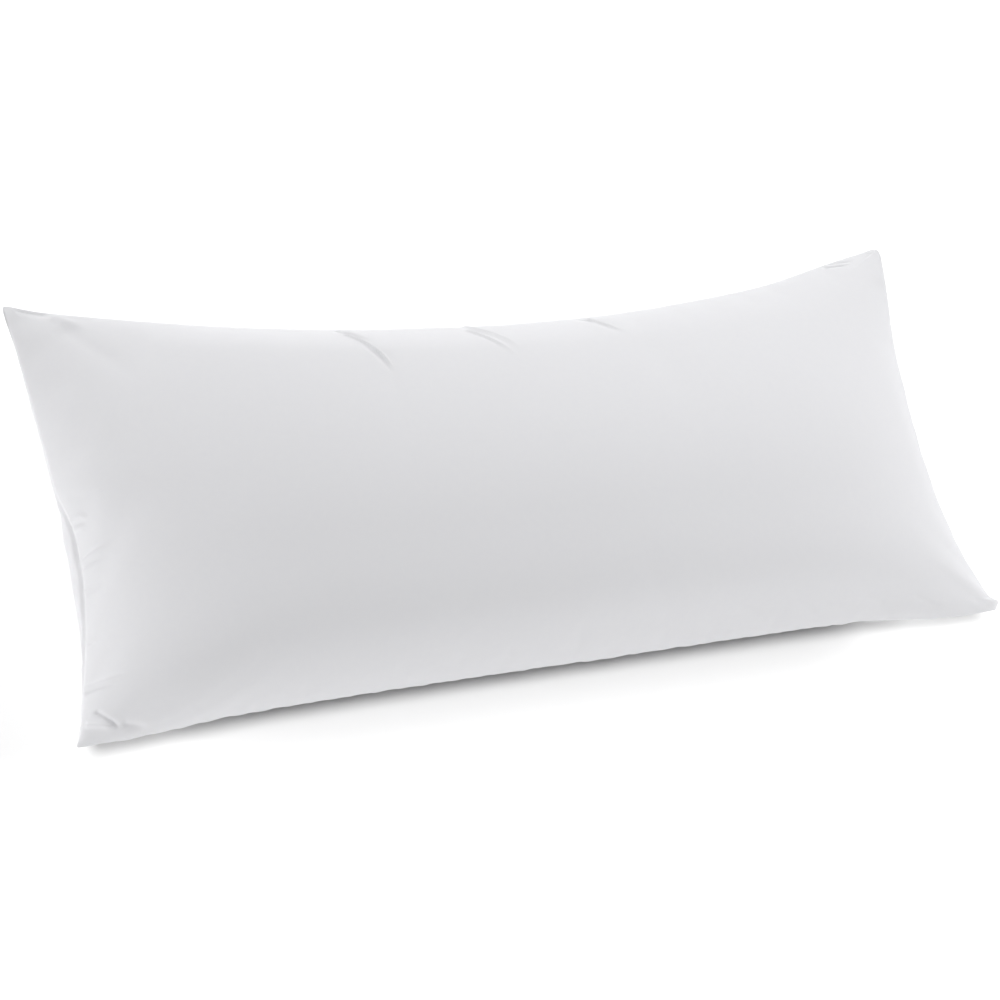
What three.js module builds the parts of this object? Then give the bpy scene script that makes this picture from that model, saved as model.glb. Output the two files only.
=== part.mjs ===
// Throw pillow insert: a long lumbar cushion insert, filled and sewn shut, lying on its back.
// Units are millimetres. X runs along the length, Y across the face and Z out of the face.
// The origin is on the surface that it lies on, under the middle of its four corner tips.
import * as THREE from 'three';
import { mergeVertices } from 'three/addons/utils/BufferGeometryUtils.js';

// Driving dimensions
const LENGTH = 914; // 36 in, corner tip to corner tip
const WIDTH = 406; // 16 in, corner tip to corner tip
const SEAM_HEIGHT = 74; // from the surface to the seam that joins the two panels
const FRONT_CROWN = 86; // from the seam up to the top of the filled front panel

// The filling pulls each side in between its corners. Places along a side run from -1 to 1.
// drawIn is how far in the middle, skew and twist lean that towards one end, and fullness widens it.
// reach and rise say how both panels swell from the side: a higher reach keeps the crown level for
// longer, and a lower rise makes a steeper wall. lean is how far in the back panel meets the surface.
const SIDES = {
  top: { drawIn: 55, skew: 0.09, fullness: 0.05, twist: 0, reach: 2, rise: 0.54, lean: 25 },
  bottom: { drawIn: 8.5, skew: -0.14, fullness: 1.08, twist: 0, reach: 3.1, rise: 0.44, lean: 25 },
  left: { drawIn: 17.8, skew: -0.66, fullness: -0.1, twist: 0.11, reach: 3.69, rise: 0.78, lean: 0 },
  right: { drawIn: 29.1, skew: -0.55, fullness: 0.34, twist: 0, reach: 5.98, rise: 0.54, lean: 18 },
};

// On the left the back panel stands out past the seam between two places, and swells out below it.
const ROLL = { out: 8.2, low: -0.86, lowFade: 0.62, high: 0.16, highFade: 0.14, bulge: 0.98 };

const CREST = { along: -0.292, across: -0.347 }; // where the pillow is fullest
const FLAT_FROM = 0.9; // share of the full swell past which the back lies flat on the surface
const SETTLE = 1.6; // the larger this is, the more gently the back meets the surface
const ROLL_UNTIL = 0.3; // share of the full swell over which the back rolls out past the seam
const SIDE_REACH = 4; // the larger this is, the closer to its side a roll or a lean stays

// Facets along and across each panel, closer together towards the seam
const COLUMNS = 52;
const ROWS = 30;

// A smooth rise from 0 to 1
function ease(share) {
  const held = Math.min(Math.max(share, 0), 1);
  return held ** 2 * (3 - 2 * held);
}

// How far a side is drawn in at a place along it, in millimetres
function drawnIn({ drawIn, skew, fullness, twist }, place) {
  const uneven = 1 + skew * place + fullness * place ** 2 + twist * place ** 3;
  return drawIn * (1 - place ** 2) * uneven;
}

// How full the pillow is between two opposite sides, from 0 on them to 1 on the crest
function fullAt(place, crest, low, high) {
  const fromCrest = place - crest * (1 - place ** 2);
  const { reach, rise } = fromCrest < 0 ? low : high;
  return Math.max(1 - Math.abs(fromCrest) ** reach, 0) ** rise;
}

// How full the pillow is, from 0 on the seam to 1 on its crest
function swellAt(u, v) {
  const { top, bottom, left, right } = SIDES;
  return fullAt(u, CREST.along, left, right) * fullAt(v, CREST.across, bottom, top);
}

// How near a place is to the side at +1, from 0 in the middle to 1 on the side
function nearness(place) {
  return Math.max(place, 0) ** SIDE_REACH;
}

// How far cloth is tucked in under the left side's roll, below 0 where it swells out
function tucked(place, deep) {
  const { out, low, lowFade, high, highFade, bulge } = ROLL;
  const roll = out * ease((place - low) / lowFade) * ease((high - place) / highFade);
  return roll * ((1 - deep) ** 2 - bulge * 4 * deep * (1 - deep));
}

// A point of one panel, where u and v run from -1 to 1 along and across the face
function panelPoint(isFront, u, v) {
  const swell = swellAt(u, v);
  const { top, bottom, left, right } = SIDES;
  let x = (LENGTH * u) / 2;
  x += ((1 - u) / 2) * drawnIn(left, v) - ((1 + u) / 2) * drawnIn(right, v);
  let y = (WIDTH * v) / 2;
  y += ((1 - v) / 2) * drawnIn(bottom, u) - ((1 + v) / 2) * drawnIn(top, u);

  // The seam and the front panel lie inside the roll, and the back panel swells out of it.
  x += nearness(-u) * tucked(v, isFront ? 0 : Math.min(swell / ROLL_UNTIL, 1));
  if (isFront) {
    return new THREE.Vector3(x, y, SEAM_HEIGHT + FRONT_CROWN * swell);
  }

  // The back panel hangs down to the surface and leans in on its way.
  const gap = (1 - Math.min(swell / FLAT_FROM, 1)) ** SETTLE;
  x -= nearness(u) * right.lean * (1 - gap);
  y += (nearness(-v) * bottom.lean - nearness(v) * top.lean) * (1 - gap);
  return new THREE.Vector3(x, y, SEAM_HEIGHT * gap);
}

// Facet lines at equal turns of a half circle, so that they crowd towards both ends
function facetLine(index, count) {
  if (index === 0) return -1;
  if (index === count) return 1;
  return -Math.cos((Math.PI * index) / count);
}

// Adds one panel's points and facets. Each cell is cut from the corner that is nearest
// the pillow's own corner, so that the two panels share only the seam.
function addPanel(isFront, positions, facets) {
  const first = positions.length / 3;
  for (let row = 0; row <= ROWS; row += 1) {
    for (let column = 0; column <= COLUMNS; column += 1) {
      const point = panelPoint(isFront, facetLine(column, COLUMNS), facetLine(row, ROWS));
      positions.push(point.x, point.y, point.z);
    }
  }
  for (let row = 0; row < ROWS; row += 1) {
    for (let column = 0; column < COLUMNS; column += 1) {
      const a = first + row * (COLUMNS + 1) + column;
      const b = a + 1;
      const c = b + COLUMNS + 1;
      const d = a + COLUMNS + 1;
      const isLeft = column < COLUMNS / 2;
      const isLow = row < ROWS / 2;
      const pair = isLeft === isLow ? [[a, b, c], [a, c, d]] : [[a, b, d], [b, c, d]];
      for (const facet of pair) {
        facets.push(...(isFront ? facet : facet.reverse()));
      }
    }
  }
}

// The front and back panels, closed along their shared seam
function filledCushion() {
  const positions = [];
  const facets = [];
  addPanel(true, positions, facets);
  addPanel(false, positions, facets);
  const loose = new THREE.BufferGeometry();
  loose.setAttribute('position', new THREE.Float32BufferAttribute(positions, 3));
  loose.setIndex(facets);
  const closed = mergeVertices(loose);
  closed.computeVertexNormals();
  return closed;
}

// Plain white brushed microfibre, matt and a little cool
const cover = new THREE.MeshStandardMaterial({ color: 0xf1f1f4, roughness: 0.92, metalness: 0 });

const pillow = new THREE.Mesh(filledCushion(), cover);
pillow.name = 'pillow_insert';

const group = new THREE.Group();
group.add(pillow);

export default group;
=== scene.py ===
"""A throw pillow insert, lying on its back on a pale floor under soft studio light.

The cover is two panels of white brushed microfibre, sewn together all round and turned, and filled so
that the face is crowned and the sides are drawn in between the corners.
Lengths are in metres. X runs along the insert, Y across its face and Z out of its face.
"""

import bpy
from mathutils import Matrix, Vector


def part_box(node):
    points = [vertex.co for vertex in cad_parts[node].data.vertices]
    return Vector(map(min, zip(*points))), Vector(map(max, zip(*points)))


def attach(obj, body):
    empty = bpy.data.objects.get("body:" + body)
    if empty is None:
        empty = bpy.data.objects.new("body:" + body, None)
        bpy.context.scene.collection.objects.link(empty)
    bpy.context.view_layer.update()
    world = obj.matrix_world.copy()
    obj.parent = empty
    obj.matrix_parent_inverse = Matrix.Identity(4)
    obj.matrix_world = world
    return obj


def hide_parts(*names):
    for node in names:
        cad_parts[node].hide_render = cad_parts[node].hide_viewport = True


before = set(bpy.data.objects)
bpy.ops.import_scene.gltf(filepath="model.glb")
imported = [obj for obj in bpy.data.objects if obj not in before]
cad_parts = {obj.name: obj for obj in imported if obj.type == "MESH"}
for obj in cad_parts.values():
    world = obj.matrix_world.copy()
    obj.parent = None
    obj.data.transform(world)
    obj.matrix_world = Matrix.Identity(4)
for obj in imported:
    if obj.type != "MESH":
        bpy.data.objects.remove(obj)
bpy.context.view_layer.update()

import logging
from dataclasses import dataclass
from enum import Enum

import bpy
import numpy as np
from mathutils import Matrix, Vector

logging.basicConfig(level=logging.INFO, format="%(message)s")
log = logging.getLogger("pillow")

NODE = "pillow_insert"
MM = 0.001
SEED = 36
BELL_REACH = 3  # in widths of a fold, past which it no longer lifts the cloth

Place = tuple[float, float]


class Panel(Enum):
    """The two panels of the cover."""

    FRONT = "front"
    BACK = "back"


FRONT, BACK = Panel.FRONT, Panel.BACK


def linear(hex_colour: str, alpha: float = 1.0) -> tuple[float, float, float, float]:
    """Turns an sRGB hex colour into linear light.

    Args:
        hex_colour: Six hex digits, such as "dadadc".
        alpha: The fourth value of the result.

    Returns:
        Red, green, blue and alpha, in linear light.
    """
    parts = [int(hex_colour[i:i + 2], 16) / 255 for i in (0, 2, 4)]
    lit = [c / 12.92 if c <= 0.04045 else ((c + 0.055) / 1.055) ** 2.4 for c in parts]
    return (*lit, alpha)


def add_node(
    tree: bpy.types.NodeTree, kind: str, settings: dict | None = None, links: dict | None = None
) -> bpy.types.Node:
    """Adds a node to a tree.

    Args:
        tree: The node tree.
        kind: Blender's name of the node's type.
        settings: Values by socket name, or by property name where the node has no such socket.
        links: Output sockets of other nodes, by the name or number of the input that each feeds.

    Returns:
        The new node.
    """
    node = tree.nodes.new(kind)
    for name, value in (settings or {}).items():
        if name in node.inputs:
            node.inputs[name].default_value = value
        else:
            setattr(node, name, value)
    for name, output in (links or {}).items():
        tree.links.new(output, node.inputs[name])
    return node


def blank_material(name: str) -> tuple[bpy.types.Material, bpy.types.NodeTree]:
    """Makes a material whose node tree is empty, and returns both."""
    material = bpy.data.materials.new(name)
    material.use_nodes = True
    material.node_tree.nodes.clear()
    return material, material.node_tree


def ease(share: np.ndarray) -> np.ndarray:
    """A smooth rise from 0 to 1: three times the square less twice the cube, held at both ends."""
    held = np.clip(share, 0, 1)
    return held ** 2 * (3 - 2 * held)


def hump(share: np.ndarray, start: int = 1) -> np.ndarray:
    """A hump 1 high over the shares from 0 to 1.

    The share raised to the start, times the square of what is left of it, over the height of its peak.

    Args:
        share: Shares of the hump's length.
        start: 1 where it rises at once, and more where it starts flat.

    Returns:
        The hump's height at each share.
    """
    held = np.clip(share, 0, 1)
    peak = start / (start + 2)
    return held ** start * (1 - held) ** 2 / (peak ** start * (1 - peak) ** 2)


def normals(grid: np.ndarray) -> np.ndarray:
    """The unit normals of a grid of points: the cross product of its two slopes."""
    across = np.cross(np.gradient(grid, axis=0), np.gradient(grid, axis=1))
    return across / np.maximum(np.linalg.norm(across, axis=-1, keepdims=True), 1e-12)


@dataclass(frozen=True)
class BrushedMicrofibre:
    """Polyester microfibre, plain woven and lightly brushed on its face.

    The yarn is so fine that the cloth looks smooth and matt. The brushed nap scatters light at the
    edges, which gives a soft pale rim, and leaves a very faint mottle.

    Fields:
        colour, shaded_colour: The two shades that the nap's mottle runs between.
        thread_pitch, thread_depth: The drawn yarns' spacing, and how far they stand out.
        waviness: How unevenly the yarns run.
        nap_size, nap_depth: The size of the mottle, and how far the nap stands out.
        relief: How strongly the yarns and the nap are felt in the shading.
    """

    name: str = "brushed_microfibre"
    colour: str = "dddddf"
    shaded_colour: str = "dadadd"
    roughness: float = 0.9
    sheen: float = 0.08
    sheen_roughness: float = 0.5
    ior: float = 1.46
    # The real yarns lie 0.25 mm apart. They are drawn at 1.1 mm, the finest that a pixel here can hold.
    thread_pitch: float = 1.1 * MM
    thread_depth: float = 0.03 * MM
    waviness: float = 0.4
    nap_size: float = 6 * MM
    nap_depth: float = 0.05 * MM
    relief: float = 0.3

    def material(self) -> bpy.types.Material:
        """Builds the cloth's material.

        Returns:
            A material whose weave follows the panels' own UV map, laid out in metres.
        """
        material, tree = blank_material(self.name)
        cloth = add_node(tree, "ShaderNodeUVMap", {"uv_map": "cloth"})
        place = add_node(tree, "ShaderNodeTexCoord")
        nap = add_node(
            tree, "ShaderNodeTexNoise",
            {"Scale": 1 / self.nap_size, "Detail": 4.0, "Roughness": 0.6},
            {"Vector": place.outputs["Object"]},
        )
        colour = add_node(
            tree, "ShaderNodeMixRGB",
            {"Color1": linear(self.shaded_colour), "Color2": linear(self.colour)},
            {"Fac": nap.outputs["Fac"]},
        )
        # A wave texture's bands are a tenth of a half turn apart at a scale of 1.
        bands = {"Scale": np.pi / (10 * self.thread_pitch), "Distortion": self.waviness, "Detail": 1.0}
        warp, weft = (
            add_node(
                tree, "ShaderNodeTexWave", {"bands_direction": way, **bands},
                {"Vector": cloth.outputs["UV"]},
            ) for way in "XY"
        )
        weave = add_node(
            tree, "ShaderNodeMath", {"operation": "ADD"},
            {0: warp.outputs["Fac"], 1: weft.outputs["Fac"]},
        )
        weave_bump, nap_bump = (
            add_node(
                tree, "ShaderNodeBump", {"Strength": self.relief, "Distance": depth}, {"Height": height}
            ) for depth, height in (
                (self.thread_depth, weave.outputs["Value"]), (self.nap_depth, nap.outputs["Fac"])
            )
        )
        tree.links.new(weave_bump.outputs["Normal"], nap_bump.inputs["Normal"])
        shader = add_node(
            tree, "ShaderNodeBsdfPrincipled",
            {"Roughness": self.roughness, "IOR": self.ior, "Sheen Weight": self.sheen,
             "Sheen Roughness": self.sheen_roughness},
            {"Base Color": colour.outputs["Color"], "Normal": nap_bump.outputs["Normal"]},
        )
        add_node(tree, "ShaderNodeOutputMaterial", {}, {"Surface": shader.outputs["BSDF"]})
        return material


@dataclass(frozen=True)
class PaleFloor:
    """Light grey background paper, matt, so that nothing mirrors in it."""

    name: str = "pale_floor"
    colour: str = "c8c8c8"
    roughness: float = 0.95

    def material(self) -> bpy.types.Material:
        """Builds the floor's material."""
        material, tree = blank_material(self.name)
        shader = add_node(
            tree, "ShaderNodeBsdfPrincipled",
            {"Base Color": linear(self.colour), "Roughness": self.roughness, "Specular IOR Level": 0.0},
        )
        add_node(tree, "ShaderNodeOutputMaterial", {}, {"Surface": shader.outputs["BSDF"]})
        return material


@dataclass(frozen=True)
class SideLine:
    """How one side's seam runs between its two corners, where places run from -1 to 1.

    Fields:
        draw_in: How far it is drawn in at the middle.
        skew: How far the deepest place leans towards the end at 1.
        fullness: How much wider than a parabola the drawn-in stretch is.
        ears: How far the cloth stands out again before the corners at -1 and 1.
        ear_reach: The length of each ear, as a share of half the side.
        ear_start: 1 where an ear rises at once from its corner, and more where it starts flat.
        reach, rise: How the panels rise from this side. A higher reach keeps the crown level for
            longer, and a lower rise makes a steeper wall at the seam.
        roll: How far the back panel stands out past the seam.
        roll_ends: The places between which it does so.
        roll_fades: How far from each of them it takes to reach the full roll.
        bulge: How much further the back swells out below the seam, as a share of the roll.
        twist: How much more of the drawn-in stretch lies near the end at 1.
        lean: How far in the back panel leans below this side by the time that it meets the floor.
    """

    draw_in: float
    skew: float
    fullness: float
    ears: tuple[float, float]
    ear_reach: tuple[float, float]
    reach: float
    rise: float
    ear_start: tuple[int, int] = (1, 1)
    roll: float = 0.0
    roll_ends: tuple[float, float] = (-1.0, 1.0)
    roll_fades: tuple[float, float] = (1.0, 1.0)
    bulge: float = 0.0
    twist: float = 0.0
    lean: float = 0.0

    def drawn_in(self, place: np.ndarray) -> np.ndarray:
        """How far the seam is drawn in at places along the side.

        A parabola that is 0 at the corners, times 1 plus the skew times the place, the fullness times
        the place squared and the twist times the place cubed, less a hump at each end for its ear.

        Args:
            place: Places along the side.

        Returns:
            Lengths in metres.
        """
        uneven = 1 + self.skew * place + self.fullness * place ** 2 + self.twist * place ** 3
        deep = self.draw_in * (1 - place ** 2) * uneven
        low_ear = self.ears[0] * hump((1 + place) / self.ear_reach[0], self.ear_start[0])
        high_ear = self.ears[1] * hump((1 - place) / self.ear_reach[1], self.ear_start[1])
        return deep - low_ear - high_ear

    def tucked(self, place: np.ndarray, deep: np.ndarray) -> np.ndarray:
        """How far cloth is tucked in under the side's roll.

        The roll, risen smoothly from both of its ends, times the square of what is left of the depth,
        less the bulge times four times the depth times what is left of it.

        Args:
            place: Places along the side.
            deep: How far into the roll each point is, from 0 on the seam to 1 past it.

        Returns:
            Lengths in metres, below 0 where the cloth stands out past the side.
        """
        low, high = self.roll_ends
        low_fade, high_fade = self.roll_fades
        roll = self.roll * ease((place - low) / low_fade) * ease((high - place) / high_fade)
        return roll * ((1 - deep) ** 2 - self.bulge * 4 * deep * (1 - deep))


@dataclass(frozen=True)
class Tip:
    """How a turned corner is rounded, where its sides would meet in a point.

    Fields:
        end_x, end_y: Which corner it is, each -1 or 1.
        radius: The radius of the rounding.
        spread: How far in from the corner the cloth is moved at all.
    """

    end_x: int
    end_y: int
    radius: float
    spread: float = 25 * MM

    def outward(self, far_x: np.ndarray, far_y: np.ndarray) -> np.ndarray:
        """How far cloth near the corner moves outwards along the corner's diagonal.

        The whole corner moves out by half the radius, as a bell of the distance to the point. Across
        the diagonal, up to a radius away, the edge is then cut back by the square of what is left of
        the radius over twice the radius. The cut fades over three radii inwards.

        Args:
            far_x: How far each point lies from the corner along x.
            far_y: How far it lies along y.

        Returns:
            Lengths in metres.
        """
        push = self.radius / 2 * np.exp(-(far_x ** 2 + far_y ** 2) / self.spread ** 2)
        aside = np.abs(far_x - far_y) / np.sqrt(2)
        inside = np.minimum(far_x, far_y) * np.sqrt(2)
        cut = np.clip(self.radius - aside, 0, None) ** 2 / (2 * self.radius)
        return push - cut * np.clip(1 - inside / (3 * self.radius), 0, 1) ** 2


@dataclass(frozen=True)
class Fold:
    """A crease or a soft ridge in a panel, along a bent line over the face.

    Fields:
        start, bend, end: The line's ends, and the place that it bends towards, in millimetres.
        width: How far from the line the fold has nearly gone, in millimetres.
        height: How far the cloth is raised, or sunk where it is below 0, in millimetres.
        fade_in, fade_out: The shares of the line over which it rises and dies away.
        panel: The panel that it is in.
    """

    start: Place
    bend: Place
    end: Place
    width: float
    height: float
    fade_in: float
    fade_out: float
    panel: Panel = FRONT

    def line(self) -> np.ndarray:
        """Points along the fold: a quadratic curve, in steps of a fifth of the width."""
        start, bend, end = (np.array(place) * MM for place in (self.start, self.bend, self.end))
        length = np.linalg.norm(bend - start) + np.linalg.norm(end - bend)
        t = np.linspace(0, 1, int(length / (self.width * MM / 5)) + 2)[:, None]
        return (1 - t) ** 2 * start + 2 * t * (1 - t) * bend + t ** 2 * end

    def lift(self, places: np.ndarray) -> np.ndarray:
        """How far the fold lifts the cloth.

        The height, times a bell of the distance to the line over the width, times a smooth rise from
        the start and a smooth fall towards the end.

        Args:
            places: An array of places on the face, with x and y last.

        Returns:
            The lift at each place, in metres.
        """
        line = self.line()
        reach = BELL_REACH * self.width * MM
        near = np.all((places > line.min(axis=0) - reach) & (places < line.max(axis=0) + reach), axis=-1)
        gaps = np.linalg.norm(places[near][:, None] - line, axis=-1)
        share = gaps.argmin(axis=1) / (len(line) - 1)
        fade = ease(share / self.fade_in) * ease((1 - share) / self.fade_out)
        lift = np.zeros(places.shape[:-1])
        lift[near] = self.height * MM * fade * np.exp(-(gaps.min(axis=1) / (self.width * MM)) ** 2)
        return lift


# The folds that show, each as start, bend, end, width, height, fade in, fade out
FOLDS = tuple(Fold(*row) for row in (
    # Main crease, which comes over the top side: its fine ridge, the wedge above it, the trough below
    ((-160.5, 142), (-132.5, 117), (-130, 81), 1.2, 2.4, 0.1, 0.35),
    ((-163, 154), (-150, 141), (-132, 118), 3.0, -2.3, 0.1, 0.6),
    ((-151.5, 126.5), (-139, 108), (-131, 79.5), 2.2, -1.1, 0.5, 0.25),
    ((-134, 94.5), (-131, 58), (-150, -6), 8.0, -0.8, 0.3, 0.8),
    # Second crease, a double one
    ((-37, 141), (-13, 112), (-3.5, 89), 1.2, 1.5, 0.1, 0.5),
    ((-39, 137), (-17, 116), (-9.5, 84), 1.8, -0.7, 0.2, 0.6),
    ((-36, 144), (-8, 121), (0.5, 91), 1.6, -0.8, 0.1, 0.5),
    ((-35, 149), (-4, 129), (5.5, 94), 1.2, 1.3, 0.08, 0.5),
    ((-6.5, 75.5), (-12.5, 37.5), (-34.5, -7), 7.0, -0.6, 0.3, 0.8),
    # Third crease, short
    ((92, 145), (106, 130), (122, 112), 1.2, 2.0, 0.15, 0.5),
    ((82, 143.5), (91, 140.5), (100, 134), 1.8, -0.9, 0.25, 0.4),
    ((96, 136), (105, 123), (118, 108), 2.0, -0.5, 0.2, 0.6),
    # Soft hollows in the filling
    ((135, 125.5), (149.5, 69), (129, -28), 16, -1.1, 0.4, 0.6),
    ((270.5, 48), (238, -5.5), (203, -82), 18, -0.7, 0.4, 0.5),
    ((-372.5, 162.5), (-347, 133.5), (-315, 97.5), 16, -1.4, 0.4, 0.6),
    # Pleats out of the seam on the left side, from the highest one down
    ((-433, 12), (-416, 4), (-394, -1), 3.2, -0.5, 0.1, 0.7),
    ((-432, -5), (-425, -6), (-418, -12), 1.7, 1.9, 0.05, 0.5),
    ((-433, -15), (-427, -15.5), (-420, -18), 1.7, 1.7, 0.05, 0.5),
    ((-430, -46), (-418, -40.5), (-402, -41.5), 1.9, 2.0, 0.05, 0.6),
    ((-430, -51), (-419.5, -48), (-406, -51), 2.0, -1.9, 0.05, 0.6),
    ((-433, -69.5), (-425, -72), (-416, -76), 1.7, 1.8, 0.05, 0.6),
    ((-438.5, -120), (-433.5, -118.5), (-424, -118), 1.8, -1.3, 0.05, 0.6),
    ((-445.5, -154.5), (-426, -157), (-404, -156.5), 2.0, 1.4, 0.05, 0.7),
    ((-446.5, -159.5), (-431, -162), (-412, -163), 2.2, -1.4, 0.05, 0.7),
    # Bottom left corner: a short fold across it, a facet below that and a ridge out to the tip
    ((-441, -178), (-432, -187.5), (-421.5, -199.5), 1.8, -1.7, 0.15, 0.3),
    ((-423, -194), (-411, -199.5), (-396, -202), 3.0, -2.4, 0.2, 0.4),
    ((-449.5, -187.5), (-438, -189.5), (-426, -196), 2.4, 2.8, 0.15, 0.3),
    # Top left corner: a dark facet from the tip, the bright one after it, and the valley under both
    ((-449, 202), (-435, 195), (-415, 188), 4.0, -1.8, 0.2, 0.3),
    ((-421, 190), (-406, 180), (-392, 168), 4.5, 1.8, 0.25, 0.4),
    ((-414, 178), (-396, 152), (-345, 85), 10.0, -2.6, 0.2, 0.5),
    # Top right corner: two fine lines beside the seam
    ((378, 185), (398.5, 184), (417.5, 184.5), 1.3, -1.6, 0.2, 0.4),
    ((385.5, 189), (405, 189.5), (423.5, 190.5), 1.2, -1.2, 0.2, 0.4),
    # Right side: small pleats, and a soft ridge out to the bottom corner
    ((431.5, -131), (394, -148.5), (375, -157.5), 2.4, -0.4, 0.1, 0.7),
    ((433, -137), (397.5, -156), (381, -163.5), 2.2, 0.3, 0.1, 0.7),
    ((417, -91.5), (403.5, -97.5), (391.5, -102.5), 2.2, -0.3, 0.1, 0.7),
    ((435, -192), (389, -169), (338, -135.5), 7.0, 0.8, 0.15, 0.6),
    ((434, -199), (402, -185.5), (360, -162), 6.0, -0.5, 0.15, 0.6),
))


@dataclass(frozen=True)
class Swelling:
    """A broad rise or hollow in the face, where the fibre has gathered or thinned.

    Fields:
        place: Its middle, in millimetres.
        size: How far from its middle it has nearly gone, in millimetres.
        height: How far the cloth is raised, or sunk where it is below 0, in millimetres.
    """

    place: Place
    size: float
    height: float

    def lift(self, places: np.ndarray) -> np.ndarray:
        """How far it lifts the cloth: the height times a bell of the distance to its middle."""
        gaps = np.linalg.norm(places - np.array(self.place) * MM, axis=-1)
        return self.height * MM * np.exp(-(gaps / (self.size * MM)) ** 2)


# Where the filling is fuller or thinner than an even crown, each as place, size, height
SWELLINGS = tuple(Swelling(*row) for row in (
    # Fuller along the middle of the face, from the left to the right
    ((-250, 90), 150, 7),
    ((0, 20), 150, 7),
    ((300, 0), 150, 6),
    # Thin along the bottom, right of the middle
    ((150, -180), 150, -6),
    # Gathered in the bottom left corner
    ((-360, -180), 50, 4),
))


@dataclass
class PillowInsert:
    """The filled cover: its outline, its crown and how its panels meet.

    Fields:
        low, high: The corners of its box, from the frame.
        seam_share: The seam's height, as a share of the whole.
        top, bottom, left, right: How each side's seam runs.
        crest: How far the fullest place lies from the middle, along the face and across it.
        flat_from: The share of the full swell past which the back lies on the floor.
        settle: How gently the back meets the floor.
        tips: How its four corners are rounded.
        roll_until, roll_reach: How far into the back a side's roll is felt.
        seam_groove, groove_width: How deep the turned seam lies between the panels, and how wide.
        crowding: How much closer the mesh's lines lie towards the seam, along the face and across it.
    """

    low: Vector
    high: Vector
    seam_share: float = 0.4625
    top: SideLine = SideLine(
        55.0 * MM, 0.09, 0.05, ears=(-0.4 * MM, 5.4 * MM), ear_reach=(0.355, 0.359),
        reach=2.01, rise=0.54, lean=25 * MM,
    )
    bottom: SideLine = SideLine(
        8.5 * MM, -0.14, 1.08, ears=(3.0 * MM, 5.7 * MM), ear_reach=(0.338, 0.360),
        reach=3.10, rise=0.44, lean=25 * MM,
    )
    left: SideLine = SideLine(
        17.8 * MM, -0.66, -0.10, ears=(-1.2 * MM, 0.8 * MM), ear_reach=(0.610, 0.262),
        reach=3.69, rise=0.78, twist=0.11,
        roll=8.2 * MM, roll_ends=(-0.86, 0.14), roll_fades=(0.62, 0.24), bulge=0.98,
    )
    right: SideLine = SideLine(
        29.1 * MM, -0.55, 0.34, ears=(5.4 * MM, 4.3 * MM), ear_reach=(0.058, 0.608),
        reach=5.98, rise=0.54,
        ear_start=(3, 1), lean=18 * MM,
    )
    tips: tuple[Tip, ...] = (
        Tip(-1, 1, 5 * MM), Tip(1, 1, 7 * MM), Tip(1, -1, 4 * MM), Tip(-1, -1, 2 * MM)
    )
    crest: tuple[float, float] = (-0.292, -0.347)
    flat_from: float = 0.9
    settle: float = 1.6
    roll_until: float = 0.3
    roll_reach: float = 4.0
    seam_groove: float = 1.0 * MM
    groove_width: float = 2.2 * MM
    crowding: tuple[float, float] = (0.3, 0.45)

    @property
    def length(self) -> float:
        """The length from corner tip to corner tip."""
        return self.high.x - self.low.x

    @property
    def width(self) -> float:
        """The width from corner tip to corner tip."""
        return self.high.y - self.low.y

    @property
    def seam_height(self) -> float:
        """The seam's height over the floor."""
        return self.seam_share * (self.high.z - self.low.z)

    @property
    def crown(self) -> float:
        """The front's height over the seam."""
        return self.high.z - self.low.z - self.seam_height

    def swell(self, u: np.ndarray, v: np.ndarray) -> np.ndarray:
        """How full the insert is, from 0 on the seam to 1 on its crest.

        One minus a power of the place from the crest, raised to a smaller power, along the face, times
        the same across it.

        Args:
            u: Places along the face, from -1 to 1.
            v: Places across the face, from -1 to 1.

        Returns:
            The share of the full thickness.
        """
        full = np.ones_like(u)
        for place, crest, low, high in (
            (u, self.crest[0], self.left, self.right), (v, self.crest[1], self.bottom, self.top)
        ):
            from_crest = place - crest * (1 - place ** 2)
            for side, here in ((low, from_crest < 0), (high, from_crest >= 0)):
                risen = np.clip(1 - np.abs(from_crest) ** side.reach, 0, 1) ** side.rise
                full = full * np.where(here, risen, 1)
        return full

    def surface(self, panel: Panel, u: np.ndarray, v: np.ndarray) -> np.ndarray:
        """Points of a panel, before its folds.

        A rectangle whose sides are moved in by their draw-in, each fading evenly to the far side. The
        front stands over the seam by the crown times the swell. The back hangs below the seam, leans in
        and reaches the floor with no slope, as a power of what is left of the swell.

        Args:
            panel: Which panel.
            u: Places along the face, from -1 to 1.
            v: Places across the face, from -1 to 1.

        Returns:
            An array of points, with x, y and z last.
        """
        full = self.swell(u, v)
        x = self.length / 2 * u
        x = x + (1 - u) / 2 * self.left.drawn_in(v) - (1 + u) / 2 * self.right.drawn_in(v)
        y = self.width / 2 * v
        y = y + (1 - v) / 2 * self.bottom.drawn_in(u) - (1 + v) / 2 * self.top.drawn_in(u)
        if panel is FRONT:
            deep = hung = np.zeros_like(full)
            z = self.seam_height + self.crown * full
        else:
            deep = np.clip(full / self.roll_until, 0, 1)
            hung = 1 - (1 - np.clip(full / self.flat_from, 0, 1)) ** self.settle
            z = self.seam_height * (1 - hung)
        sides = ((self.left, -u, v), (self.right, u, v), (self.bottom, -v, u), (self.top, v, u))
        left, right, bottom, top = (
            np.clip(near, 0, 1) ** self.roll_reach * (side.tucked(along, deep) + side.lean * hung)
            for side, near, along in sides
        )
        x = x + left - right
        y = y + bottom - top
        for tip in self.tips:
            far_x = (1 - tip.end_x * u) * self.length / 2
            far_y = (1 - tip.end_y * v) * self.width / 2
            outward = tip.outward(far_x, far_y) / np.sqrt(2)
            x, y = x + tip.end_x * outward, y + tip.end_y * outward
        return np.stack([x, y, z], axis=-1)

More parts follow.
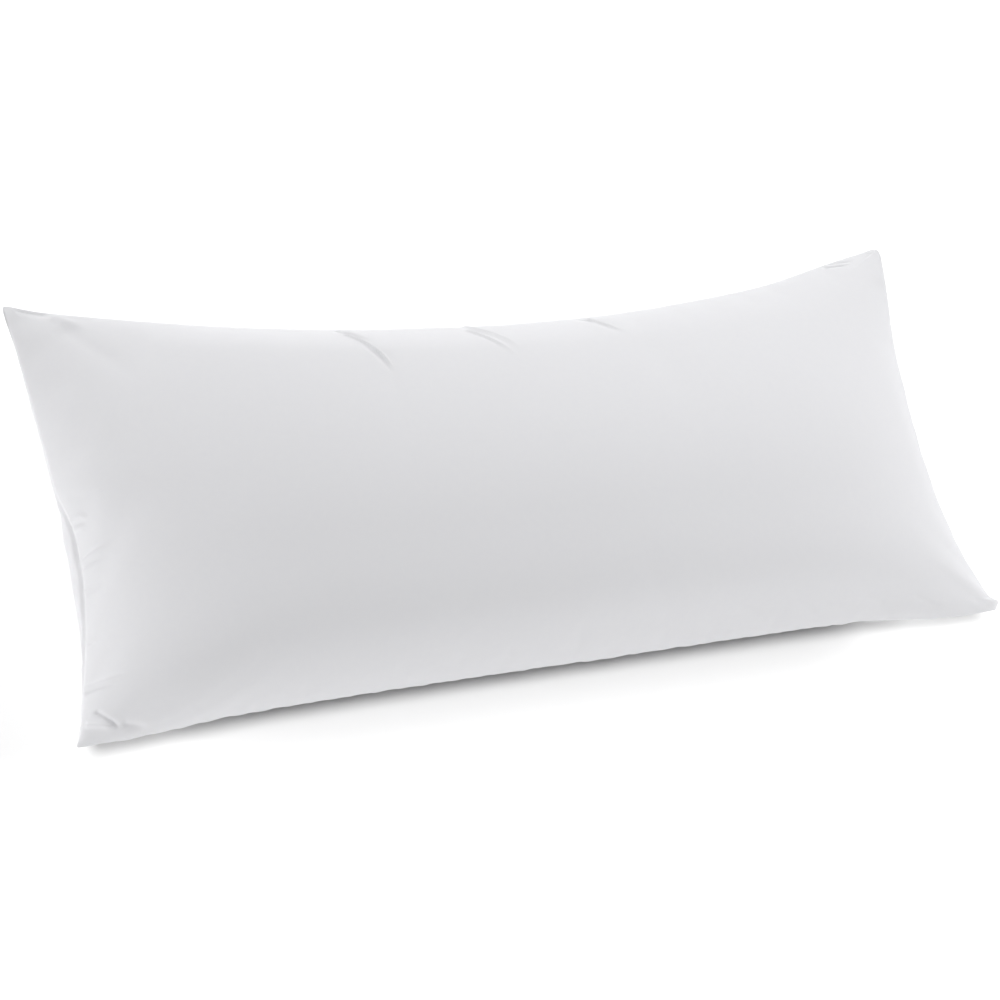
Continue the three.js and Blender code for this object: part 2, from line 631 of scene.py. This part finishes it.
    def places(self, count: int, axis: int) -> tuple[np.ndarray, np.ndarray]:
        """Places from -1 to 1 for the grid's lines, in nearly equal steps over the cloth.

        The mid-line's length is summed over a fine profile and read back at steps that are blended
        between even ones and the sine of even ones, which lie closer together towards the seam.

        Args:
            count: The number of steps.
            axis: 0 along the face, 1 across it.

        Returns:
            count + 1 places, and how far each lies over the cloth from the first, in metres.
        """
        fine = np.sin(np.linspace(-np.pi / 2, np.pi / 2, 4001))
        zero = np.zeros_like(fine)
        line = self.surface(FRONT, *((fine, zero) if axis == 0 else (zero, fine)))
        run = np.concatenate([[0], np.cumsum(np.linalg.norm(np.diff(line, axis=0), axis=1))])
        even = np.linspace(-1, 1, count + 1)
        step = (1 - self.crowding[axis]) * even + self.crowding[axis] * np.sin(np.pi / 2 * even)
        reached = (step + 1) / 2 * run[-1]
        return np.interp(reached, run, fine), reached

    def grid(self, columns: int, rows: int) -> tuple[np.ndarray, np.ndarray, np.ndarray]:
        """Lays a grid over the cloth.

        Args:
            columns: Steps along the face.
            rows: Steps across it.

        Returns:
            u, v and each point's place on the flat cloth, by column and row.
        """
        (along, far_along), (across, far_across) = self.places(columns, 0), self.places(rows, 1)
        u, v = np.meshgrid(along, across, indexing="ij")
        flat = np.stack(np.meshgrid(far_along, far_across, indexing="ij"), axis=-1)
        return u, v, flat

    def seam_point(self, u: float, v: float) -> np.ndarray:
        """The x and y of a place on the seam, in millimetres."""
        return self.surface(FRONT, np.array(u), np.array(v))[:2] / MM


def from_seam(grid: np.ndarray) -> np.ndarray:
    """How far over the cloth each point of a panel lies from the seam.

    The steps along each grid line are summed from both of its ends, and the least of the four sums is
    taken.

    Args:
        grid: The panel's points, by column and row.

    Returns:
        Lengths in metres.
    """
    sums = []
    for axis in (0, 1):
        steps = np.linalg.norm(np.diff(grid, axis=axis), axis=-1)
        start = np.zeros_like(np.take(steps, [0], axis=axis))
        run = np.concatenate([start, np.cumsum(steps, axis=axis)], axis=axis)
        sums += [run, np.take(run, [-1], axis=axis) - run]
    return np.min(sums, axis=0)


@dataclass(frozen=True)
class Gathers:
    """The small unplanned puckers along the seam, where the cloth is fuller than its stitching.

    Fields:
        spacing: The mean distance between two of them along a side, in millimetres.
        length, width, depth: The least and most of each measure, in millimetres.
        until: How far from a side's middle the last ones lie, as a share of half the side.
        scatter: How far each lies off its even place, as a share of the spacing.
        lean, curl: How far each leans and curls sideways at most, as a share of its length.
        ridge: How high a ridge is, as a share of a trough's depth.
        fades: The shares of a pucker over which it rises and dies away.
        calm, calm_right: How much weaker they are on the front, which looks smooth, and on its right.
        calm_under: How much weaker they are on the back along the bottom side.
    """

    spacing: float = 24
    length: tuple[float, float] = (10, 34)
    width: tuple[float, float] = (1.8, 4.2)
    depth: tuple[float, float] = (0.4, 1.5)
    until: float = 0.93
    scatter: float = 0.4
    lean: float = 0.5
    curl: float = 0.2
    ridge: float = 0.7
    fades: tuple[float, float] = (0.05, 0.9)
    calm: float = 0.15
    calm_right: float = 0.35
    calm_under: float = 0.3

    def strength(self, panel: Panel, side: tuple[str, int]) -> float:
        """How strong the puckers are on one side of a panel."""
        if panel is FRONT:
            return self.calm_right if side == ("x", 1) else self.calm
        return self.calm_under if side == ("y", -1) else 1.0

    def folds(self, insert: PillowInsert) -> list[Fold]:
        """Scatters the puckers, each running in from the seam and leaning a little.

        Args:
            insert: The insert whose seam they start from.

        Returns:
            The folds, troughs and ridges in turn at random.
        """
        random = np.random.default_rng(SEED)
        folds = []
        sides = [
            (axis, end, length)
            for axis, length in (("x", insert.width), ("y", insert.length)) for end in (-1, 1)
        ]
        for panel in Panel:
            for axis, end, length in sides:
                count = int(length / MM / self.spacing)
                off = random.uniform(-self.scatter, self.scatter, count) / count
                for place in np.linspace(-self.until, self.until, count) + off:
                    corner = (end, place) if axis == "x" else (place, end)
                    inwards = np.array([-end, 0.0]) if axis == "x" else np.array([0.0, -end])
                    reach = random.uniform(*self.length)
                    lean = random.uniform(-self.lean, self.lean)
                    start = insert.seam_point(*corner)
                    way = inwards + lean * inwards[::-1]
                    curl = random.uniform(-self.curl, self.curl) * reach * inwards[::-1]
                    height = random.uniform(*self.depth) * random.choice([-1, self.ridge])
                    height *= self.strength(panel, (axis, end))
                    folds.append(Fold(
                        tuple(start - way), tuple(start + way * reach / 2 + curl),
                        tuple(start + way * reach), random.uniform(*self.width), height, *self.fades,
                        panel,
                    ))
        return folds


@dataclass(frozen=True)
class FillingPressure:
    """The filling's push on the cloth, worked out by Blender's cloth simulation.

    The cloth is a little longer than the shape that it starts from, above all beside the seam, and
    the seam is held. Under the filling's pressure the spare cloth gathers into puckers that run in
    from the seam and die away, as on the real insert.

    Fields:
        columns, rows: Steps of the grid that is simulated.
        frames: How many frames it runs.
        pressure: How hard the filling pushes.
        bending, stretch, shear: How stiff the cloth is in bending, in stretching and across its weave.
        weight: The weight of one grid point, in kilograms.
        damping: How soon it comes to rest.
        quality: The simulation's steps in each frame.
        spare, least_spare: How much longer the cloth is at the seam and in the middle.
        spare_reach: How far in from the seam the spare cloth reaches.
        grades: The grades that the spare length is set in.
        broad: The size from which a swelling is left to the smooth shape.
        limit: How far a point may move.
        blur: How far a simulated point is felt on the finer grid, in steps of the simulated one.
    """

    columns: int = 150
    rows: int = 68
    frames: int = 20
    pressure: float = 8.0
    bending: float = 1.5
    stretch: float = 15
    shear: float = 5
    weight: float = 0.3
    damping: float = 1
    quality: int = 5
    spare: float = 0.015
    least_spare: float = 0.002
    spare_reach: float = 60 * MM
    grades: int = 20
    broad: float = 32 * MM
    limit: float = 5 * MM
    blur: float = 0.8

    def puckers(self, insert: PillowInsert) -> dict[Panel, np.ndarray]:
        """Simulates the cloth and finds its puckers.

        How far each point has moved along the normal, less a broad mean of the same, which is a bell
        over the cloth.

        Args:
            insert: The insert, whose smooth shape is the start.

        Returns:
            The moves of each panel's grid points along the normals, in metres.
        """
        u, v, flat = insert.grid(self.columns, self.rows)
        start = {panel: insert.surface(panel, u, v) for panel in Panel}
        everywhere = np.zeros((self.columns, self.rows), dtype=int)
        weave = CoverMesh(start, flat, {panel: everywhere for panel in Panel}, cell=1)
        piece = weave.build("simulated_cover")
        inset = from_seam(start[FRONT])
        steady = ease(inset / self.spare_reach)
        self.dress(piece, weave, steady)
        scene = bpy.context.scene
        for number in range(1, self.frames + 1):
            scene.frame_set(number)
        settled = piece.evaluated_get(bpy.context.evaluated_depsgraph_get())
        points = np.empty(len(settled.data.vertices) * 3)
        settled.data.vertices.foreach_get("co", points)
        moved = points.reshape(-1, 3)
        moves = {}
        for panel in Panel:
            shift = moved[weave.numbers[panel]] - start[panel]
            rise = np.sum(shift * weave.outward[panel], axis=-1)
            broad = rise
            for axis in (0, 1):
                run = flat[:, 0, 0] if axis == 0 else flat[0, :, 1]
                bell = np.exp(-((run[:, None] - run) / self.broad) ** 2)
                bell /= bell.sum(axis=1, keepdims=True)
                broad = bell @ broad if axis == 0 else broad @ bell.T
            moves[panel] = np.clip(rise - broad, -self.limit, self.limit)
        bpy.data.objects.remove(piece)
        scene.frame_set(1)
        return moves

    def dress(self, piece: bpy.types.Object, weave: "CoverMesh", steady: np.ndarray) -> None:
        """Gives the piece its cloth settings, its held seam and its spare length.

        Args:
            piece: The cover to simulate.
            weave: The mesh's layout.
            steady: How little spare cloth each grid point has, from 0 at the seam to 1.
        """
        held = piece.vertex_groups.new(name="seam")
        held.add(weave.rim_numbers().tolist(), 1.0, "REPLACE")
        fullness = piece.vertex_groups.new(name="steady")
        grades = np.round(steady * self.grades).astype(int)
        for grade in range(self.grades + 1):
            chosen = np.concatenate([weave.numbers[panel][grades == grade] for panel in Panel])
            fullness.add(np.unique(chosen).tolist(), grade / self.grades, "REPLACE")
        settings = piece.modifiers.new("filling", "CLOTH").settings
        settings.quality = self.quality
        settings.mass = self.weight
        settings.tension_stiffness = settings.compression_stiffness = self.stretch
        settings.shear_stiffness = self.shear
        settings.bending_stiffness = self.bending
        settings.tension_damping = settings.compression_damping = self.damping
        settings.shear_damping = self.damping
        settings.use_pressure = True
        settings.uniform_pressure_force = self.pressure
        settings.vertex_group_mass = held.name
        settings.vertex_group_shrink = fullness.name
        settings.shrink_min = -self.spare
        settings.shrink_max = -self.least_spare
        settings.effector_weights.gravity = 0


class CoverMesh:
    """One closed mesh of two panels that share their rim, fine where the cloth is creased.

    Each panel is a lattice of points that is cut into square cells. A cell is one face where the cloth
    is smooth, four where it bends and sixteen where it is creased. A face's outline takes in the
    lattice points that finer neighbours use, so no gap opens between coarse and fine.
    """

    def __init__(
        self, points: dict[Panel, np.ndarray], flat: np.ndarray, levels: dict[Panel, np.ndarray],
        cell: int,
    ) -> None:
        """Numbers the lattice points that are used.

        Args:
            points: Each panel's lattice of points, by column and row.
            flat: Each lattice point's place on the flat cloth, for the UV map.
            levels: How often each cell of a panel is halved.
            cell: The lattice steps along a whole cell, a power of 2.
        """
        self.points, self.flat, self.levels, self.cell = points, flat, levels, cell
        self.outward = {FRONT: normals(points[FRONT]), BACK: -normals(points[BACK])}
        self.rim = np.ones(flat.shape[:2], dtype=bool)
        self.rim[1:-1, 1:-1] = False
        self.used = {panel: self.find_used(levels[panel]) for panel in Panel}
        shared = self.rim & (self.used[FRONT] | self.used[BACK])
        self.numbers = {}
        count = 0
        for panel in Panel:
            self.used[panel] |= shared
            own = self.used[panel] & ~self.rim if panel is BACK else self.used[panel]
            numbers = np.full(flat.shape[:2], -1)
            numbers[own] = count + np.arange(own.sum())
            count += own.sum()
            self.numbers[panel] = numbers
        self.numbers[BACK][self.rim] = self.numbers[FRONT][self.rim]
        self.count = count

    def find_used(self, levels: np.ndarray) -> np.ndarray:
        """Marks the lattice points that are a corner of a face, given how often cells are halved."""
        used = np.zeros(self.flat.shape[:2], dtype=bool)
        for level in range(levels.max() + 1):
            for column, row in self.corners(levels, level):
                step = self.cell >> level
                for right, up in ((0, 0), (step, 0), (step, step), (0, step)):
                    used[column + right, row + up] = True
        return used

    def corners(self, levels: np.ndarray, level: int) -> list[tuple[np.ndarray, np.ndarray]]:
        """The lattice columns and rows of the low corners of all faces of one size.

        Args:
            levels: How often each cell is halved.
            level: The faces to find, by how often they are halved.

        Returns:
            A pair of arrays for each place that a face can have within its cell.
        """
        step = self.cell >> level
        column, row = np.nonzero(levels == level)
        return [
            (column * self.cell + right, row * self.cell + up)
            for right in range(0, self.cell, step) for up in range(0, self.cell, step)
        ]

    def rim_numbers(self) -> np.ndarray:
        """The numbers of the points on the seam."""
        return self.numbers[FRONT][self.rim & self.used[FRONT]]

    def outlines(self, panel: Panel) -> tuple[np.ndarray, np.ndarray, np.ndarray]:
        """Finds the outline of every face of a panel.

        All lattice points along a face's four edges are listed in turn, and those that nothing uses
        are dropped. The four faces at the panel's corners are cut from the corner inwards, so that
        the two panels share only the rim.

        Args:
            panel: Which panel.

        Returns:
            The lattice columns and rows along all outlines, and the number of points of each.
        """
        columns, rows, counts = [], [], []
        used = self.used[panel]
        last_column, last_row = used.shape[0] - 2, used.shape[1] - 2
        for level in range(self.levels[panel].max() + 1):
            step = self.cell >> level
            run = np.arange(step)
            right = np.concatenate([run, np.full(step, step), step - run, np.zeros(step, int)])
            up = np.concatenate([np.zeros(step, int), run, np.full(step, step), step - run])
            for column, row in self.corners(self.levels[panel], level):
                at_corner = (step == 1) & np.isin(column, (0, last_column)) & np.isin(row, (0, last_row))
                ring_columns = column[~at_corner, None] + right
                ring_rows = row[~at_corner, None] + up
                kept = used[ring_columns, ring_rows]
                columns.append(ring_columns[kept])
                rows.append(ring_rows[kept])
                counts.append(kept.sum(axis=1))
                for low_column, low_row in zip(column[at_corner], row[at_corner]):
                    first = 0 if (low_column == 0) == (low_row == 0) else 1
                    for trio in ((0, 1, 2), (0, 2, 3)):
                        turn = (np.array(trio) + first) % 4
                        columns.append(low_column + right[turn])
                        rows.append(low_row + up[turn])
                        counts.append(np.array([3]))
        return np.concatenate(columns), np.concatenate(rows), np.concatenate(counts)

    def build(self, name: str) -> bpy.types.Object:
        """Makes the mesh, with its UV map laid out in metres.

        Args:
            name: The new object's name.

        Returns:
            The object, at the origin.
        """
        places = np.empty((self.count, 3))
        loops, counts, uvs = [], [], []
        for panel in Panel:
            numbers = self.numbers[panel]
            own = self.used[panel] & (numbers >= 0)
            places[numbers[own]] = self.points[panel][own]
            column, row, count = self.outlines(panel)
            flat = self.flat[column, row]
            if panel is BACK:
                ends = np.cumsum(count)
                starts = np.repeat(ends - count, count)
                stops = np.repeat(ends, count)
                turned = starts + stops - 1 - np.arange(len(column))
                column, row = column[turned], row[turned]
                flat = self.flat[column, row] + (0, self.flat[..., 1].max() * 1.1)
            loops.append(numbers[column, row])
            counts.append(count)
            uvs.append(flat)
        loops, counts, uvs = np.concatenate(loops), np.concatenate(counts), np.concatenate(uvs)
        mesh = bpy.data.meshes.new(name)
        mesh.vertices.add(self.count)
        mesh.vertices.foreach_set("co", places.ravel())
        mesh.loops.add(len(loops))
        mesh.loops.foreach_set("vertex_index", loops.astype(np.int32))
        mesh.polygons.add(len(counts))
        mesh.polygons.foreach_set("loop_start", (np.cumsum(counts) - counts).astype(np.int32))
        mesh.update(calc_edges=True)
        mesh.uv_layers.new(name="cloth").data.foreach_set("uv", uvs.ravel())
        mesh.shade_smooth()
        mesh.validate()
        built = bpy.data.objects.new(name, mesh)
        bpy.context.scene.collection.objects.link(built)
        return built


@dataclass
class Cover:
    """The insert's finished cover, with its seam, its folds and its puckers.

    Fields:
        insert: The smooth filled shape.
        columns, rows: The mesh's cells along and across a panel, each of them cell lattice steps.
        cell: The lattice steps along a cell.
        tolerance: How far a face may lie off the cloth before it is halved.
        pucker_shares: How much of the simulated puckers each panel shows.
        even_edge: How far in from the seam the filling's unevenness is not fully felt.
        held_edge: How far in from the seam the stitching holds the cloth against folding.
        wander: How far the seam wanders up and down, as heights in millimetres and wavelengths.
        wander_phase: How far each of those waves is ahead of the one before.
        wander_reach: How far over the cloth the wandering is felt.
        calm_tip: How much of the corner tips is left without folds.
    """

    insert: PillowInsert
    columns: int = 176
    rows: int = 80
    cell: int = 4
    tolerance: float = 0.09 * MM
    pucker_shares: tuple[tuple[Panel, float], ...] = ((FRONT, 0.35), (BACK, 0.8))
    even_edge: float = 60 * MM
    held_edge: float = 5 * MM
    wander: tuple[tuple[float, float], ...] = ((0.6, 0.31), (0.3, 0.13))
    wander_phase: float = 1.7
    wander_reach: float = 14 * MM
    calm_tip: float = 0.12

    def spread(
        self, coarse: np.ndarray, u: np.ndarray, v: np.ndarray, settle: FillingPressure
    ) -> np.ndarray:
        """Spreads simulated moves over the fine lattice.

        Each fine point takes the mean of the coarse ones, weighed by a bell of how many grid steps
        away they lie, along and then across.

        Args:
            coarse: The moves, by column and row of the simulated grid.
            u: The fine lattice's places along the face.
            v: The fine lattice's places across it.
            settle: The simulation, for its grid.

        Returns:
            The moves on the fine lattice.
        """
        weights = []
        for axis, fine, count in ((0, u[:, 0], settle.columns), (1, v[0], settle.rows)):
            lines, _ = self.insert.places(count, axis)
            index = np.interp(fine, lines, np.arange(count + 1))
            bell = np.exp(-((index[:, None] - np.arange(count + 1)) / settle.blur) ** 2)
            weights.append(bell / bell.sum(axis=1, keepdims=True))
        return weights[0] @ coarse @ weights[1].T

    def lifts(
        self, panel: Panel, smooth: np.ndarray, inset: np.ndarray, folds: list[Fold], puckers: np.ndarray
    ) -> np.ndarray:
        """How far each point of a panel stands out of the smooth shape, apart from the seam.

        The folds and the puckers, which fade to nothing at the seam, and the filling's unevenness,
        which fades over a wider edge.

        Args:
            panel: Which panel.
            smooth: Its smooth points.
            inset: How far over the cloth each point lies from the seam.
            folds: All folds, of both panels.
            puckers: The simulated moves on the lattice.

        Returns:
            Lengths in metres.
        """
        lift = puckers * dict(self.pucker_shares)[panel]
        for fold in folds:
            if fold.panel is panel:
                lift = lift + fold.lift(smooth[..., :2])
        if panel is FRONT:
            uneven = sum(swelling.lift(smooth[..., :2]) for swelling in SWELLINGS)
            lift = lift + uneven * ease(inset / self.even_edge)
        return lift * ease(inset / self.held_edge)

    def seam_shift(self, inset: np.ndarray, along: np.ndarray) -> tuple[np.ndarray, np.ndarray]:
        """The groove that the turned seam lies in, and how the seam wanders up and down.

        The groove is a bell of the distance to the seam. The wander is a sum of sines of the distance
        round the rim, and fades away from it.

        Args:
            inset: How far over the cloth each point lies from the seam.
            along: How far round the rim each point lies.

        Returns:
            How far each point is drawn in, and how far it is raised, in metres.
        """
        insert = self.insert
        groove = insert.seam_groove * np.exp(-(inset / insert.groove_width) ** 2)
        waves = sum(
            height * MM * np.sin(2 * np.pi * along / length + self.wander_phase * number)
            for number, (height, length) in enumerate(self.wander)
        )
        return groove, waves * np.exp(-(inset / self.wander_reach) ** 2)

    def build(self, name: str, quick: bool) -> bpy.types.Object:
        """Makes the cover.

        Args:
            name: The piece's name.
            quick: Whether to leave the simulation out.

        Returns:
            The object, at the origin.
        """
        insert, settle = self.insert, FillingPressure()
        u, v, flat = insert.grid(self.columns * self.cell, self.rows * self.cell)
        folds = list(FOLDS) + Gathers().folds(insert)
        still = np.zeros((settle.columns + 1, settle.rows + 1))
        moves = {panel: still for panel in Panel} if quick else settle.puckers(insert)
        smooth = {panel: insert.surface(panel, u, v) for panel in Panel}
        outward = {FRONT: normals(smooth[FRONT]), BACK: -normals(smooth[BACK])}
        rim = np.ones(u.shape, dtype=bool)
        rim[1:-1, 1:-1] = False
        sideways = outward[FRONT] + outward[BACK]
        sideways /= np.maximum(np.linalg.norm(sideways, axis=-1, keepdims=True), 1e-12)
        calm = ease((1 - u ** 2 * v ** 2) / self.calm_tip)
        points = {}
        for panel in Panel:
            way = np.where(rim[..., None], sideways, outward[panel])
            inset = from_seam(smooth[panel])
            along = np.where(1 - np.abs(u) < 1 - np.abs(v), flat[..., 1], flat[..., 0])
            groove, wander = self.seam_shift(inset, along)
            spread = self.spread(moves[panel], u, v, settle)
            lift = self.lifts(panel, smooth[panel], inset, folds, spread)
            shift = way * (calm * (lift - groove))[..., None]
            shift[..., 2] += calm * wander
            points[panel] = smooth[panel] + shift
            points[panel][..., 2] = np.maximum(points[panel][..., 2], 0)
        levels = {panel: self.find_levels(points[panel]) for panel in Panel}
        cover = CoverMesh(points, flat, levels, self.cell).build(name)
        log.info("%s: %d faces", name, len(cover.data.polygons))
        return cover

    def find_levels(self, grid: np.ndarray) -> np.ndarray:
        """Finds how often each cell of a panel has to be halved.

        A cell is halved while any lattice point lies further than the tolerance from the flat patches
        between the corners of its faces. No cell is halved twice beside one that is whole.

        Args:
            grid: The panel's points.

        Returns:
            0, 1 or 2 for each cell.
        """
        levels = np.zeros((self.columns, self.rows), dtype=int)
        for level, step in enumerate((self.cell, self.cell // 2)):
            patches = grid
            for axis in (0, 1):
                fine = np.arange(grid.shape[axis])
                nodes = fine[::step]
                below = np.minimum(fine // step, len(nodes) - 2)
                share = (fine - nodes[below]) / step
                share = share[:, None, None] if axis == 0 else share[None, :, None]
                low = np.take(patches, nodes[below], axis=axis)
                high = np.take(patches, nodes[below] + step, axis=axis)
                patches = low * (1 - share) + high * share
            off = np.linalg.norm(grid - patches, axis=-1)[:-1, :-1]
            worst = off.reshape(self.columns, self.cell, self.rows, self.cell).max(axis=(1, 3))
            levels[(worst > self.tolerance) & (levels == level)] = level + 1
        levels[[0, 0, -1, -1], [0, -1, 0, -1]] = 2
        padded = np.pad(levels, 1)
        beside = [padded[1 + i:levels.shape[0] + 1 + i, 1 + j:levels.shape[1] + 1 + j]
                  for i in (-1, 0, 1) for j in (-1, 0, 1)]
        return np.maximum(levels, np.max(beside, axis=0) - 1)


class Lit(Enum):
    """What a light is flagged to fall on, as a studio's screens do."""

    COVER = "cover"
    FLOOR = "floor"


@dataclass(frozen=True)
class SoftBox:
    """One soft studio light, a square panel that faces the insert."""

    name: str
    lit: Lit
    place: tuple[float, float, float]
    size: float
    power: float

    def hang(self, receiver: bpy.types.Object) -> None:
        """Adds the light, aimed at the origin, to fall on one object alone."""
        lamp = bpy.data.lights.new(self.name, "AREA")
        lamp.size = self.size
        lamp.energy = self.power
        holder = bpy.data.objects.new(self.name, lamp)
        holder.location = self.place
        holder.rotation_mode = "QUATERNION"
        holder.rotation_quaternion = (-Vector(self.place)).to_track_quat("-Z", "Y")
        holder.light_linking.receiver_collection = bpy.data.collections.new(self.name)
        holder.light_linking.receiver_collection.objects.link(receiver)
        bpy.context.scene.collection.objects.link(holder)


@dataclass
class Studio:
    """The pale floor, the soft light and the camera.

    The floor has lights of its own, which burn it out to white all but under the insert's edge.
    """

    target: Vector
    floor_reach: float = 12.0
    room_light: float = 0.1
    lights: tuple[SoftBox, ...] = (
        SoftBox("far_side", Lit.COVER, (0, 2.4, 0.7), 1.6, 47),
        SoftBox("near_side", Lit.COVER, (0, -1.8, 1.7), 1.6, 24),
        SoftBox("left_end", Lit.COVER, (-2.4, 0, 0.6), 1.4, 33),
        SoftBox("right_end", Lit.COVER, (2.4, 0, 0.6), 1.4, 5.5),
        SoftBox("right_high", Lit.COVER, (1.9, 0, 1.6), 1.4, 33),
        SoftBox("floor_above", Lit.FLOOR, (-2.2, -1.0, 5.9), 1.2, 440),
        SoftBox("floor_left", Lit.FLOOR, (-5.9, 1.8, 1.5), 3.5, 640),
        SoftBox("floor_right", Lit.FLOOR, (5.9, 1.8, 1.5), 3.5, 565),
        SoftBox("floor_right_high", Lit.FLOOR, (4.75, 0.3, 4.0), 3.5, 375),
    )
    # Where the photograph was taken from, counted from the middle of the four corner tips
    stand: tuple[float, float, float] = (-0.7002, -0.5904, 1.5488)
    looks_along: tuple[float, float, float] = (0.3732, 0.3155, -0.8725)
    image_up: tuple[float, float, float] = (0.1038, 0.9203, 0.3772)
    lens: float = 68.69
    sensor: float = 36.0

    def set_up(self, cover: bpy.types.Object) -> None:
        """Adds the floor, the lights, the room light and the camera around the cover."""
        receivers = {Lit.COVER: cover, Lit.FLOOR: self.lay_floor()}
        for light in self.lights:
            light.hang(receivers[light.lit])
        self.light_room()
        self.place_camera()
        bpy.context.scene.view_settings.view_transform = "Standard"

    def lay_floor(self) -> bpy.types.Object:
        """Adds the floor, a wide flat square at height 0, and returns it."""
        r = self.floor_reach
        mesh = bpy.data.meshes.new("floor")
        mesh.from_pydata([(-r, -r, 0), (r, -r, 0), (r, r, 0), (-r, r, 0)], [], [(0, 1, 2, 3)])
        mesh.materials.append(PaleFloor().material())
        floor = bpy.data.objects.new("floor", mesh)
        bpy.context.scene.collection.objects.link(floor)
        return floor

    def light_room(self) -> None:
        """Gives the room an even white light."""
        world = bpy.data.worlds.new("room")
        world.use_nodes = True
        world.node_tree.nodes.clear()
        light = add_node(
            world.node_tree, "ShaderNodeBackground",
            {"Color": linear("ffffff"), "Strength": self.room_light},
        )
        add_node(world.node_tree, "ShaderNodeOutputWorld", {}, {"Surface": light.outputs["Background"]})
        bpy.context.scene.world = world

    def place_camera(self) -> None:
        """Puts the camera where the photograph was taken from."""
        ahead = Vector(self.looks_along).normalized()
        up = Vector(self.image_up)
        up = (up - ahead * up.dot(ahead)).normalized()
        aside = ahead.cross(up)
        turn = Matrix((aside, up, -ahead)).transposed()
        data = bpy.data.cameras.new("camera")
        data.sensor_width = self.sensor
        data.lens = self.lens
        camera = bpy.data.objects.new("camera", data)
        camera.location = self.target + Vector(self.stand)
        camera.rotation_mode = "QUATERNION"
        camera.rotation_quaternion = turn.to_quaternion()
        bpy.context.scene.collection.objects.link(camera)
        bpy.context.scene.camera = camera


def main() -> None:
    """Builds the insert and the studio."""
    low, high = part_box(NODE)
    insert = PillowInsert(low, high)
    cover = Cover(insert).build("filled_cover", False)
    cover.data.materials.append(BrushedMicrofibre().material())
    Studio(Vector((0, 0, insert.seam_height))).set_up(cover)
    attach(cover, "root")
    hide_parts(NODE)


if __name__ == "__main__":
    main()
